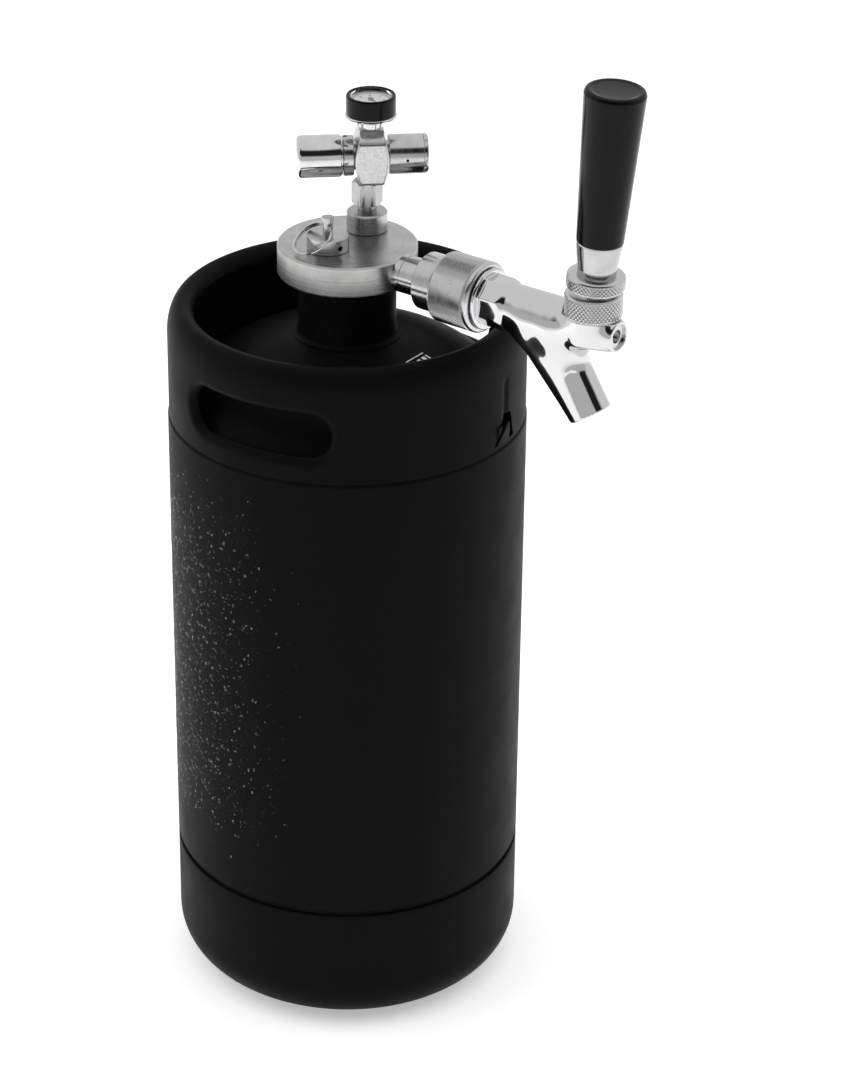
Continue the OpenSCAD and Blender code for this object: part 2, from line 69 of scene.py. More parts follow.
def placed(origin, z_axis, x_axis=None):
    """A frame at origin, in metres, whose +Z is z_axis and whose +X is as near x_axis as it can be."""
    z = Vector(z_axis).normalized()
    x = Vector(x_axis) if x_axis else z.orthogonal()
    x = (x - z * x.dot(z)).normalized()
    at = Matrix((x, z.cross(x), z)).transposed().to_4x4()
    at.translation = Vector(origin)
    return at


def polar(radius, bearing, z):
    a = math.radians(bearing)
    return Vector((radius * math.sin(a), -radius * math.cos(a), z))


UP = (0, 0, 1)
LEVER_LEAN = math.radians(4.2)
KEG = placed((0, 0, 0), UP, (1, 0, 0))
REG_POS = Vector(joint("pressure_knob_turn")["pos_m"])
REG_AXIS = Vector(joint("pressure_knob_turn")["axis"])
RELIEF_POS = Vector(joint("pull_ring_swing")["pos_m"])
GAUGE_POS = Vector(joint("gauge_needle_sweep")["pos_m"])
NUT_POS = Vector(joint("coupling_nut_turn")["pos_m"])
PIVOT = Vector(joint("tap_lever_pull")["pos_m"])
REG = placed(REG_POS, REG_AXIS, UP)
TAP = placed((0, 0, NUT_POS.z), (0, -1, 0), UP)
LEVER = placed(PIVOT, (0, -math.sin(LEVER_LEAN), math.cos(LEVER_LEAN)), (1, 0, 0))
GAUGE = placed(GAUGE_POS, UP, REG_AXIS)
RELIEF = placed(RELIEF_POS, UP, (1, 0, 0))
CAP_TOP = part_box("dispenser_cap")[1].z
INLET = placed((REG_POS.x, REG_POS.y, CAP_TOP), UP, (1, 0, 0))


# ---- Mesh helpers ----

def made(name, mesh_bm, at, body, slot, material, *replaced, sharp=SHARP):
    """Turns a bmesh in millimetres into a finished piece, with hard edges kept sharp."""
    bmesh.ops.recalc_face_normals(mesh_bm, faces=mesh_bm.faces)
    bmesh.ops.scale(mesh_bm, vec=(MM, MM, MM), verts=mesh_bm.verts)
    for face in mesh_bm.faces:
        face.smooth = True
    for edge in mesh_bm.edges:
        if len(edge.link_faces) == 2 and edge.calc_face_angle() > sharp:
            edge.smooth = False
    mesh = bpy.data.meshes.new(name)
    mesh_bm.to_mesh(mesh)
    mesh_bm.free()
    piece = bpy.data.objects.new(name, mesh)
    bpy.context.scene.collection.objects.link(piece)
    piece.matrix_world = at
    mesh.materials.append(material)
    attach(piece, body)
    if replaced:
        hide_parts(*replaced)
    return piece


def rounded(corners, steps=5):
    """An outline through (r, z) corners. A corner's third number rounds it with an arc of that radius."""
    points = []
    last = len(corners) - 1
    for i, corner in enumerate(corners):
        here = Vector(corner[:2])
        if len(corner) < 3 or i in (0, last):
            points.append(here)
            continue
        back = (Vector(corners[i - 1][:2]) - here).normalized()
        on = (Vector(corners[i + 1][:2]) - here).normalized()
        half = math.acos(max(-1, min(1, back.dot(on)))) / 2
        reach = corner[2] / math.tan(half)
        middle = here + (back + on).normalized() * (corner[2] / math.sin(half))
        start = here + back * reach - middle
        sweep = math.pi - 2 * half
        turn = math.copysign(sweep, start.x * (here - middle).y - start.y * (here - middle).x)
        for k in range(steps + 1):
            a = turn * k / steps
            points.append(middle + Vector((start.x * math.cos(a) - start.y * math.sin(a),
                                           start.x * math.sin(a) + start.y * math.cos(a))))
    return points


def arc(middle, reach, first, last, steps):
    """Points on along an ellipse from the angle first, without that point itself, to last in degrees."""
    points = []
    for i in range(1, steps + 1):
        a = math.radians(first + (last - first) * i / steps)
        points.append((middle[0] + reach[0] * math.cos(a), middle[1] + reach[1] * math.sin(a)))
    return points


def turned(outline, around=192, closed=False, shape=None, split=False):
    """A bmesh of an outline turned about +Z.

    closed joins the outline's last point to its first, as for a ring. shape(angle, r, z) may return
    another radius for a point. split makes triangles that lean both ways.
    """
    bm = bmesh.new()
    rings = []
    for r, z in outline:
        if r < ON_AXIS:
            rings.append([bm.verts.new((0, 0, z))] * around)
            continue
        ring = []
        for k in range(around):
            a = 2 * math.pi * k / around
            q = shape(a, r, z) if shape else r
            ring.append(bm.verts.new((q * math.cos(a), q * math.sin(a), z)))
        rings.append(ring)
    pairs = list(zip(rings, rings[1:] + rings[:1])) if closed else list(zip(rings, rings[1:]))
    for row, (low, high) in enumerate(pairs):
        for k in range(around):
            n = (k + 1) % around
            corners = []
            for v in (low[k], low[n], high[n], high[k]):
                if v not in corners:
                    corners.append(v)
            if len(corners) == 4 and split:
                turn = (row + k) % 2
                corners = corners[turn:] + corners[:turn]
                bm.faces.new((corners[0], corners[1], corners[2]))
                bm.faces.new((corners[0], corners[2], corners[3]))
            elif len(corners) > 2:
                bm.faces.new(corners)
    return bm


def ripple(t):
    """A triangle wave: 0 at whole numbers, 1 halfway between them."""
    return 1 - abs(2 * (t % 1) - 1)


def knurled(below, above, r, low, high, teeth, pitch, depth):
    """A closed ring with a diamond knurl between the heights low and high of its outer wall."""
    rows = max(4, 4 * round((high - low) / pitch))
    step = (high - low) / rows
    start = len(below)
    wall = [(r, low + step * i) for i in range(rows + 1)]

    def shape(angle, q, z):
        if q != r or not low - step / 2 < z < high + step / 2:
            return q
        u = angle * teeth / (2 * math.pi)
        v = (z - low) / (4 * step) + start % 2 * 0.25
        return r - depth * (1 - min(ripple(u + v), ripple(u - v)))

    return turned(below + wall + above, 4 * teeth, True, shape, True)


def swept(bm, sections, sides):
    """Adds a closed wire through sections: a middle, the way out from the coil's axis and a radius."""
    rings = []
    for middle, out, thick in sections:
        ring = []
        for k in range(sides):
            b = 2 * math.pi * k / sides
            spoke = out * thick * math.cos(b) + Vector(UP) * thick * math.sin(b)
            ring.append(bm.verts.new(middle + spoke))
        rings.append(ring)
    for low, high in zip(rings, rings[1:]):
        for k in range(sides):
            n = (k + 1) % sides
            bm.faces.new((low[k], low[n], high[n], high[k]))
    bm.faces.new(rings[0])
    bm.faces.new(rings[-1])


def plate(bm, low, high, at):
    """Adds a box between two corners, placed by a matrix."""
    size = Vector(high) - Vector(low)
    middle = (Vector(high) + Vector(low)) / 2
    grown = at @ Matrix.Translation(middle) @ Matrix.Diagonal((*size, 1))
    bmesh.ops.create_cube(bm, size=1, matrix=grown)


def ease(t):
    """From 0 to 1 with a soft start and end, for one number."""
    t = max(0, min(1, t))
    return t * t * (3 - 2 * t)


def soft_step(t):
    """ease() for a whole array."""
    t = np.clip(t, 0, 1)
    return t * t * (3 - 2 * t)


def smooth_union(a, b, soft):
    """The smaller of two distances, rounded over where they are within soft of each other."""
    near = np.maximum(soft - np.abs(a - b), 0) / soft
    return np.minimum(a, b) - near * near * soft / 4


def smooth_meet(a, b, soft):
    """The distance to what two shapes share."""
    return -smooth_union(-a, -b, soft)


def smooth_cut(a, b, soft):
    """The distance to the shape a with b taken out of it."""
    return -smooth_union(-a, b, soft)


def bar(off, along, radius, start, end, edge=0.5):
    """Distance to a round bar with rounded edges, from the distance off its axis and the place along it."""
    out = off - radius + edge
    past = np.abs(along - (start + end) / 2) - (end - start) / 2 + edge
    outside = np.hypot(np.maximum(out, 0), np.maximum(past, 0))
    return outside + np.minimum(np.maximum(out, past), 0) - edge


def taper(p, start, end, start_r, end_r):
    """Distance to a round-ended bar whose radius goes from start_r at start to end_r at end."""
    run = end - start
    t = np.clip((p - start) @ run / (run @ run), 0, 1)
    return np.linalg.norm(p - start - t[:, None] * run, axis=1) - start_r - (end_r - start_r) * t


def cast(name, field, low, high, step, at, body, slot, material, *replaced):
    """A cast piece: the surface where field(points) is zero, between the corners low and high."""
    low = np.array(low, float)
    counts = np.ceil((np.array(high) - low) / step).astype(int) + 1
    axes = [low[i] + step * np.arange(counts[i]) for i in range(3)]
    points = np.stack(np.meshgrid(*axes, indexing="ij"), axis=-1).reshape(-1, 3)
    band = 4 * step
    values = np.clip(field(points), -band, band).reshape(counts)
    grid = openvdb.FloatGrid(band)
    grid.copyFromArray(values.astype(np.float32))
    corners, quads = grid.convertToQuads(0.0)
    corners = corners.astype(float) * step + low
    # The grid's corners are pulled onto the true surface, along its slope
    reach = 0.02
    for _ in range(3):
        nudges = np.eye(3) * reach
        slope = np.stack([(field(corners + n) - field(corners - n)) / (2 * reach) for n in nudges], axis=-1)
        steep = np.maximum((slope * slope).sum(axis=1), 0.1)
        corners -= np.clip(field(corners) / steep, -step, step)[:, None] * slope
    mesh = bpy.data.meshes.new(name)
    mesh.from_pydata(corners.tolist(), [], quads.tolist())
    bm = bmesh.new()
    bm.from_mesh(mesh)
    bpy.data.meshes.remove(mesh)
    return made(name, bm, at, body, slot, material, *replaced, sharp=math.pi)


# ---- Materials ----

def shader(name, color, metallic, roughness, **sockets):
    """A Principled material with these values on its own sockets."""
    m = bpy.data.materials.new(name)
    m.use_nodes = True
    bsdf = m.node_tree.nodes["Principled BSDF"]
    bsdf.inputs["Base Color"].default_value = (*color, 1)
    bsdf.inputs["Metallic"].default_value = metallic
    bsdf.inputs["Roughness"].default_value = roughness
    for socket, value in sockets.items():
        bsdf.inputs[socket.replace("_", " ")].default_value = value
    return m


def node(m, kind, inputs=(), **settings):
    """Adds a node to a material or world. An input is a value, or another node's output to link."""
    n = m.node_tree.nodes.new(kind)
    for key, value in settings.items():
        setattr(n, key, value)
    for key, value in dict(inputs).items():
        if isinstance(value, bpy.types.NodeSocket):
            m.node_tree.links.new(value, n.inputs[key])
        else:
            n.inputs[key].default_value = value
    return n


def place_coords(m, at=None):
    """Object coordinates, turned into the frame at, so that its +Z is the piece's own axis."""
    coords = node(m, "ShaderNodeTexCoord").outputs["Object"]
    if at is None:
        return coords
    back = at.inverted()
    return node(m, "ShaderNodeMapping", {"Vector": coords, "Location": back.translation,
                                         "Rotation": back.to_euler()}).outputs["Vector"]


def noise(m, coords, scale, detail=4.0, stretch=(1, 1, 1)):
    v = node(m, "ShaderNodeMapping", {"Vector": coords, "Scale": stretch}).outputs["Vector"]
    return node(m, "ShaderNodeTexNoise", {"Vector": v, "Scale": scale, "Detail": detail}).outputs["Fac"]


def remap(m, value, low, high):
    """Spreads a noise, most of which lies between 0.3 and 0.7, over low to high."""
    return node(m, "ShaderNodeMapRange", {"Value": value, "From Min": 0.3, "From Max": 0.7,
                                          "To Min": low, "To Max": high}).outputs["Result"]


def principled(m):
    return m.node_tree.nodes["Principled BSDF"]


def vary_roughness(m, value, low, high):
    m.node_tree.links.new(remap(m, value, low, high), principled(m).inputs["Roughness"])


def vary_color(m, value, dark, light):
    # A Mix node's sockets share names, so its colour sockets go by number: A, B and the result
    mix = node(m, "ShaderNodeMix", {"Factor": remap(m, value, 0.0, 1.0)}, data_type="RGBA")
    mix.inputs[6].default_value = (*dark, 1)
    mix.inputs[7].default_value = (*light, 1)
    m.node_tree.links.new(mix.outputs[2], principled(m).inputs["Base Color"])


def bump(m, height, strength, distance):
    n = node(m, "ShaderNodeBump", {"Height": height, "Strength": strength, "Distance": distance})
    m.node_tree.links.new(n.outputs["Normal"], principled(m).inputs["Normal"])


def ring_coords(m, at):
    """(radius, along, 0) about the frame's +Z: a pattern on it runs in rings, as a lathe's marks do."""
    split = node(m, "ShaderNodeSeparateXYZ", {"Vector": place_coords(m, at)})
    flat = node(m, "ShaderNodeCombineXYZ", {"X": split.outputs["X"], "Y": split.outputs["Y"]})
    length = node(m, "ShaderNodeVectorMath", {0: flat.outputs["Vector"]}, operation="LENGTH")
    rings = node(m, "ShaderNodeCombineXYZ", {"X": length.outputs["Value"], "Y": split.outputs["Z"]})
    return rings.outputs["Vector"]


def powder_coat(name, roughness):
    """Matt black paint with a fine orange-peel grain."""
    m = shader(name, (0.0035, 0.0035, 0.0036), 0.0, roughness, Specular_IOR_Level=0.035)
    coords = place_coords(m)
    grain = noise(m, coords, 1500, 3)
    vary_roughness(m, noise(m, coords, 60, 5), roughness - 0.04, roughness + 0.05)
    vary_color(m, grain, (0.0028, 0.0028, 0.0029), (0.0045, 0.0045, 0.0047))
    bump(m, grain, 0.35, 0.00012)
    return m


def turned_steel(name, at, color=(0.62, 0.62, 0.62), roughness=0.28, grain=4500, depth=0.00003):
    """Steel with the fine rings that a lathe or a circular brush leaves round the frame's +Z."""
    m = shader(name, color, 1.0, roughness)
    rings = noise(m, ring_coords(m, at), grain, 2, (1, 1, 1))
    cloud = noise(m, place_coords(m, at), 120, 3)
    vary_roughness(m, rings, roughness - 0.07, roughness + 0.1)
    vary_color(m, cloud, tuple(c * 0.88 for c in color), tuple(min(1, c * 1.08) for c in color))
    bump(m, rings, 0.25, depth)
    return m


def chrome(name, color=(0.66, 0.66, 0.67), roughness=0.05, wave=0.00002):
    """Polished plating over a faintly wavy casting."""
    m = shader(name, color, 1.0, roughness)
    coords = place_coords(m)
    vary_roughness(m, noise(m, coords, 220, 4), roughness * 0.7, roughness * 1.5)
    bump(m, noise(m, coords, 90, 2), 0.2, wave)
    return m


def plain_fine(name, color, metallic, roughness, grain=2500, strength=0.2, depth=0.00005, **sockets):
    """A moulded or drawn surface: fine grain in its height, colour and gloss."""
    m = shader(name, color, metallic, roughness, **sockets)
    coords = place_coords(m)
    fine = noise(m, coords, grain, 3)
    vary_roughness(m, noise(m, coords, grain / 8, 4), roughness * 0.85, roughness * 1.2)
    vary_color(m, fine, tuple(c * 0.85 for c in color), tuple(min(1, c * 1.12) for c in color))
    bump(m, fine, strength, depth)
    return m


powder = powder_coat("powder_coat", 0.46)
inner_steel = turned_steel("inner_steel", KEG, roughness=0.3)
cap_steel = turned_steel("cap_steel", KEG, (0.5, 0.5, 0.495), 0.28)
relief_steel = turned_steel("relief_steel", RELIEF, (0.52, 0.52, 0.52), 0.24)
inlet_steel = turned_steel("inlet_steel", INLET, (0.46, 0.46, 0.46), 0.24)
reg_steel = turned_steel("regulator_steel", REG, (0.58, 0.58, 0.58), 0.18)
knob_chrome = turned_steel("knob_chrome", REG, (0.7, 0.7, 0.7), 0.07, depth=0.000004)
tap_steel = turned_steel("tap_steel", TAP, (0.6, 0.6, 0.6), 0.16)
lever_steel = turned_steel("lever_steel", LEVER, (0.5, 0.5, 0.5), 0.1)
body_chrome = chrome("body_chrome")
forged = plain_fine("forged_nickel", (0.56, 0.56, 0.56), 1.0, 0.24, grain=1400, strength=0.12,
                    depth=0.00004)
knurl_chrome = chrome("knurl_chrome", (0.6, 0.6, 0.61), 0.22)
gloss_black = plain_fine("gloss_black", (0.004, 0.004, 0.0045), 0.0, 0.14, grain=700, strength=0.1,
                         depth=0.00002, Specular_IOR_Level=0.14)
rubber = plain_fine("black_rubber", (0.014, 0.014, 0.014), 0.0, 0.4)
dial_white = plain_fine("dial_white", (0.86, 0.86, 0.84), 0.0, 0.5)
needle_black = plain_fine("needle_black", (0.02, 0.02, 0.02), 0.0, 0.5)
brass = plain_fine("brass", (0.6, 0.45, 0.22), 1.0, 0.3)
nylon = plain_fine("nylon", (0.78, 0.77, 0.72), 0.0, 0.45)
spring_steel = plain_fine("spring_steel", (0.45, 0.45, 0.46), 1.0, 0.3)
# The clear water keeps a small share of white diffuse colour. That share is a painted glint: it makes the drops
# show as light specks on the dark wall.
water = shader("water", (0.95, 0.95, 0.95), 0.0, 0.04, Transmission_Weight=0.92, IOR=1.4)
vary_roughness(water, noise(water, place_coords(water), 400), 0.02, 0.06)
glass = shader("clear_glass", (0.97, 0.98, 0.98), 0.0, 0.03, Transmission_Weight=1.0, IOR=1.45)
vary_roughness(glass, noise(glass, place_coords(glass), 300), 0.02, 0.06)

CAD_LOOKS = {
    powder: ["outer_shell", "base_skirt", "bottom_plate", "shoulder_dome", "neck_ring", "handle_collar"],
    inner_steel: ["inner_vessel", "dip_tube"],
    cap_steel: ["dispenser_cap"],
    relief_steel: ["relief_boss", "relief_stem"],
    inlet_steel: ["gas_inlet_fitting", "swivel_nut"],
    reg_steel: ["spring_bonnet", "cartridge_socket", "socket_end_ring"],
    knob_chrome: ["pressure_knob"],
    tap_steel: ["beer_shank", "shank_collar", "shaft_guide", "valve_shaft"],
    lever_steel: ["tap_lever", "handle_ferrule"],
    body_chrome: ["faucet_body", "gauge_case", "pull_ring"],
    forged: ["regulator_body"],
    knurl_chrome: ["coupling_nut", "faucet_bonnet", "lever_collar"],
    gloss_black: ["tap_handle"],
    rubber: ["cap_gasket", "relief_seal", "cartridge_seal", "gauge_ring", "coupling_washer",
             "seat_washer"],
    dial_white: ["gauge_dial"],
    needle_black: ["gauge_needle"],
    brass: ["regulator_piston", "spring_follower"],
    nylon: ["friction_washer"],
    spring_steel: ["relief_spring", "range_spring", "piercing_pin"],
    glass: ["gauge_lens"],
}
CAD_LOOK = {name: look for look, names in CAD_LOOKS.items() for name in names}
for node_name, look in CAD_LOOK.items():
    cad_mesh = frame["nodes"][node_name].data
    cad_mesh.materials.clear()
    cad_mesh.materials.append(look)


def body_of_node(node_name):
    bodies = frame["record"]["behaviour"]["bodies"]
    return next(body for body, nodes in bodies.items() if node_name in nodes)


def smoothed(node_name, slot, material):
    """The CAD node's own shape, with its duplicate corners merged so that round faces shade round."""
    source = frame["nodes"][node_name]
    bm = bmesh.new()
    bm.from_mesh(source.data)
    bmesh.ops.scale(bm, vec=(1 / MM, 1 / MM, 1 / MM), verts=bm.verts)
    bmesh.ops.remove_doubles(bm, verts=bm.verts, dist=0.001)
    bmesh.ops.dissolve_limit(bm, angle_limit=math.radians(0.5), verts=bm.verts, edges=bm.edges)
    made(node_name + "_smooth", bm, KEG, body_of_node(node_name), slot, material, node_name)


# ---- Keg ----

BODY_R = 82.5
COLLAR_R = 82.0
WALL_T = 1.2
BEAD_Z = 290.5
AROUND = 192
# The collar's sheet is unrolled from a seam, on one of the columns that the turned parts share
SEAM = 90 - 21 * 360 / AROUND
ARC_MM = math.radians(1) * COLLAR_R
KEG_TURN = 7
WALL_LOW = 292.0
WALL_HIGH = 329.0
WALL_ROWS = 14
SLOT_Z = 312.5
SLOT_R = 11.0
SLOT_ARC = 53
ROLL = 3.8
SLOT_STEPS = (0, 0.15, 0.6, 1.3, 2.1, 3.0, 4.0)
SLOT_CLEAR = 4.9
OPENER_Z = 292.4
OPENER_H = 14.0
OPENER_CLEAR = 11
OPENER_PRESS = 0.9
FLUTE_W = 1.8


def keg_part(name, bm, node_name):
    """A black-painted piece that stands in for a node of the keg's own body."""
    made(name, bm, KEG, "keg", "black_powder_coat", powder, node_name)


def arc_place(bearing):
    """How far round the collar a bearing is from the seam of its unrolled sheet."""
    return (bearing - SEAM) % 360 * ARC_MM


SLOTS = [arc_place(KEG_TURN - 91), arc_place(KEG_TURN + 89)]
OPENERS = [arc_place(KEG_TURN), arc_place(KEG_TURN + 180)]
SLOT_HALF = SLOT_ARC / 2 * ARC_MM - SLOT_R


def slot_distance(x, z, middle):
    """From the edge of a finger slot, positive outside it, on the unrolled sheet."""
    return math.hypot(max(abs(x - middle) - SLOT_HALF, 0), z - SLOT_Z) - SLOT_R


def slot_loop(middle, away, count=120):
    """Points round a finger slot at a distance from its edge."""
    r = SLOT_R + away
    length = 4 * SLOT_HALF + 2 * math.pi * r
    loop = []
    for i in range(count):
        s = length * i / count
        if s < 2 * SLOT_HALF:
            loop.append((middle - SLOT_HALF + s, SLOT_Z + r))
        elif s < 2 * SLOT_HALF + math.pi * r:
            a = (s - 2 * SLOT_HALF) / r
            loop.append((middle + SLOT_HALF + r * math.sin(a), SLOT_Z + r * math.cos(a)))
        elif s < 4 * SLOT_HALF + math.pi * r:
            loop.append((middle + SLOT_HALF - (s - 2 * SLOT_HALF - math.pi * r), SLOT_Z - r))
        else:
            a = (s - 4 * SLOT_HALF - math.pi * r) / r
            loop.append((middle - SLOT_HALF - r * math.sin(a), SLOT_Z - r * math.cos(a)))
    return loop


def opener_loop(middle):
    """The opener's pointed opening, open below its tongue."""
    corners = [(-9.0, 0.4), (-2.0, OPENER_H - 1), (-0.4, OPENER_H), (4.2, OPENER_H), (5.4, OPENER_H - 1),
               (8.6, 0.4), (4.4, 0.4), (2.4, 9.2), (1.9, 9.9), (1.1, 9.9), (0.6, 9.4), (-6.6, 0.4)]
    loop = []
    for (x0, z0), (x1, z1) in zip(corners, corners[1:] + corners[:1]):
        parts = max(1, round(math.hypot(x1 - x0, z1 - z0) / 0.9))
        for i in range(parts):
            loop.append((middle + x0 + (x1 - x0) * i / parts, OPENER_Z + z0 + (z1 - z0) * i / parts))
    return loop


def inside(x, z, loop):
    """Whether a point is within a closed loop, by counting the sides to its right."""
    hit = False
    for (x0, z0), (x1, z1) in zip(loop, loop[1:] + loop[:1]):
        if (z0 > z) != (z1 > z) and x < (x1 - x0) * (z - z0) / (z1 - z0) + x0:
            hit = not hit
    return hit


def collar_depth(x, z):
    """How far the sheet is pressed in from the collar's cylinder."""
    depth = 0
    for middle in SLOTS:
        t = max(slot_distance(x, z, middle), 0)
        if t < ROLL:
            depth += ROLL - math.sqrt(ROLL ** 2 - (ROLL - t) ** 2)
    for middle in OPENERS:
        side = x - middle
        up = z - OPENER_Z
        # A flute runs up from the opening's top, and the tongue inside it stands out again
        if up > OPENER_H - 2:
            depth += OPENER_PRESS * math.exp(-(side / FLUTE_W) ** 2) * ease((34 - up) / 6)
        if -6.7 < side < 4.5 and up < 10:
            depth -= OPENER_PRESS * ease(up / 8)
    return depth


def collar_point(x, z):
    return polar(COLLAR_R - collar_depth(x, z), SEAM + x / ARC_MM, z)


def thicken(bm, thickness):
    """Gives a sheet its inner face and closes its borders."""
    bm.normal_update()
    faces = bm.faces[:]
    borders = [edge.link_loops[0] for edge in bm.edges if edge.is_boundary]
    inner = {v: bm.verts.new(v.co - v.normal * thickness) for v in bm.verts[:]}
    for face in faces:
        bm.faces.new([inner[v] for v in reversed(face.verts)])
    for loop in borders:
        a = loop.vert
        b = loop.link_loop_next.vert
        bm.faces.new((b, a, inner[a], inner[b]))


def sheet_grid():
    """The sheet's points between its openings: a plain grid, left out near the slots and openers."""
    points = []
    for j in range(WALL_ROWS + 1):
        z = WALL_LOW + (WALL_HIGH - WALL_LOW) * j / WALL_ROWS
        for k in range(AROUND + 1):
            x = 360 * ARC_MM * k / AROUND
            clear = all(slot_distance(x, z, middle) > SLOT_CLEAR for middle in SLOTS)
            clear = clear and not any(abs(x - m) < OPENER_CLEAR and 0 < j < WALL_ROWS for m in OPENERS)
            if clear or j in (0, WALL_ROWS):
                points.append((x, z))
    return points


def opener_grid(middle, loop):
    """Closer points round one opener, where the sheet is pressed."""
    step = (0.8, 0.82)
    columns = range(-13, 14)
    rows = range(1, 45)
    points = []
    for i in columns:
        for j in rows:
            x = middle + step[0] * i
            z = WALL_LOW + step[1] * j
            near = min(math.hypot(x - a, z - b) for a, b in loop)
            if near > step[0] / 2 and not inside(x, z, loop):
                points.append((x, z))
    return points


def collar_sheet():
    """The straight wall as an open sheet, cut by its finger slots and openers."""
    slot_loops = [slot_loop(middle, away) for middle in SLOTS for away in SLOT_STEPS]
    opener_loops = [opener_loop(middle) for middle in OPENERS]
    points = []
    edges = []
    for loop in slot_loops + opener_loops:
        start = len(points)
        points += loop
        edges += [(start + i, start + (i + 1) % len(loop)) for i in range(len(loop))]
    points += sheet_grid()
    for middle, loop in zip(OPENERS, opener_loops):
        points += opener_grid(middle, loop)
    flat = delaunay_2d_cdt([Vector(p) for p in points], edges, [], 0, 1e-4)
    bm = bmesh.new()
    verts = [bm.verts.new(collar_point(*p)) for p in flat[0]]
    for face in flat[2]:
        x = sum(flat[0][i].x for i in face) / 3
        z = sum(flat[0][i].y for i in face) / 3
        in_slot = any(slot_distance(x, z, middle) < 0 for middle in SLOTS)
        if not in_slot and not any(inside(x, z, loop) for loop in opener_loops):
            bm.faces.new([verts[i] for i in face])
    bmesh.ops.delete(bm, geom=[v for v in bm.verts if not v.link_faces], context="VERTS")
    return bm


def handle_collar():
    """One pressed sheet: rolled rim, straight wall with finger slots and openers, lap inside the body."""
    bm = collar_sheet()
    rim = [(COLLAR_R, WALL_HIGH), (COLLAR_R, 330.3)]
    rim += arc((75.5, 330.3), (6.5, 14), 0, 90, 14)
    rim += arc((75.5, 338.8), (5.7, 5.5), 90, 180, 10)
    rim += [(69.9, 338.0), (70.3, 337.3), (70.9, 336.9)]
    foot = [(81.1, 283.0), (81.1, 289.8), (81.7, 290.6), (81.95, 291.0), (COLLAR_R, WALL_LOW)]
    for outline in (rim, foot):
        ring = turned(outline, AROUND)
        mesh = bpy.data.meshes.new("sheet_part")
        ring.to_mesh(mesh)
        ring.free()
        bm.from_mesh(mesh)
        bpy.data.meshes.remove(mesh)
    bmesh.ops.remove_doubles(bm, verts=bm.verts, dist=0.01)
    thicken(bm, WALL_T)
    keg_part("collar", bm, "handle_collar")


def shell():
    """The body's wall, rounded in over the collar's lap, with the seam groove at its foot."""
    outline = rounded([
        (80.6, 58.5), (81.2, 58.5), (81.2, 66.9), (81.9, 67.1), (BODY_R, 67.7, 0.5), (BODY_R, 240),
        (BODY_R, 289.6, 1.2), (81.75, BEAD_Z + 0.2, 0.2), (81.25, BEAD_Z), (81.25, 68.5), (80.1, 68.5),
    ])
    keg_part("shell", turned(outline, AROUND, True), "outer_shell")


def skirt():
    """The base ring with its rounded bottom corner, turned back up inside to the bottom plate."""
    corner = (58.5, 24)
    outline = [(54.0, 0.0), (58.5, 0)] + arc(corner, (24, 24), -90, 0, 18)
    outline += rounded([(BODY_R, 60), (BODY_R, 64.6, 0.8), (81.4, 64.6)])
    outline += [(81.3, 24)] + arc(corner, (22.8, 22.8), 0, -90, 12)
    outline += [(54.5, 1.2), (53.3, 1.6), (53.2, 6), (52, 6), (52, 1.2), (52.6, 0.3)]
    keg_part("skirt", turned(outline, AROUND, True), "base_skirt")


NECK_R = 22.2
FILLET = 2.6


def dome_z(r):
    """The height of the shoulder's outside at a radius."""
    return 331 - 52 * (1 - math.sqrt(1 - (r / 82) ** 2))


def shoulder():
    """The dished top, from inside the collar in to the neck."""
    steps = 40
    hole_r = 22.3
    rim_r = 80.4
    radii = [(hole_r + (rim_r - hole_r) * i / steps) for i in range(steps + 1)]
    outer = [(r, dome_z(r)) for r in reversed(radii)]
    inner = [(max(r - WALL_T * 0.4, hole_r), dome_z(r) - WALL_T) for r in radii]
    keg_part("shoulder", turned(outer + inner, AROUND, True), "shoulder_dome")


def neck():
    """The neck's ring and the fillet at its foot."""
    foot = dome_z(NECK_R)
    outline = [(18.2, 320.6), (NECK_R, 320.6), (NECK_R, foot), (NECK_R + FILLET, foot)]
    outline += arc((NECK_R + FILLET, foot + FILLET), (FILLET, FILLET), -90, -180, 8)
    outline += rounded([(NECK_R, 345), (NECK_R, 356.6, 0.7), (18.2, 356.6, 0.7), (18.2, 345)])
    keg_part("neck", turned(outline, AROUND, True), "neck_ring")


# ---- Faucet ----

TAP_Z = NUT_POS.z * 1000
PIVOT_Y = 132.5
BOSS_TOP = 378.8
SKIRT_Z = 372.0
FLANGE = 69.2
FAUCET_END = 146.0
MOUTH = np.array((0, -133.9, 325.5))
SPOUT_SLOPE = math.radians(32.4)
SPOUT_UP = np.array((0, math.sin(SPOUT_SLOPE), math.cos(SPOUT_SLOPE)))
SPOUT_FRONT = np.array((0, -math.cos(SPOUT_SLOPE), math.sin(SPOUT_SLOPE)))
PANEL = math.radians(31)


def spanner_flats(side, up):
    """Distance to the eight-sided bar that gives the flange its spanner flats."""
    flats = np.full(len(side), -99.0)
    for turn in (0, 45, 90, 135):
        a = math.radians(turn)
        flats = np.maximum(flats, np.abs(side * math.cos(a) + up * math.sin(a)) - 10.9)
    return flats


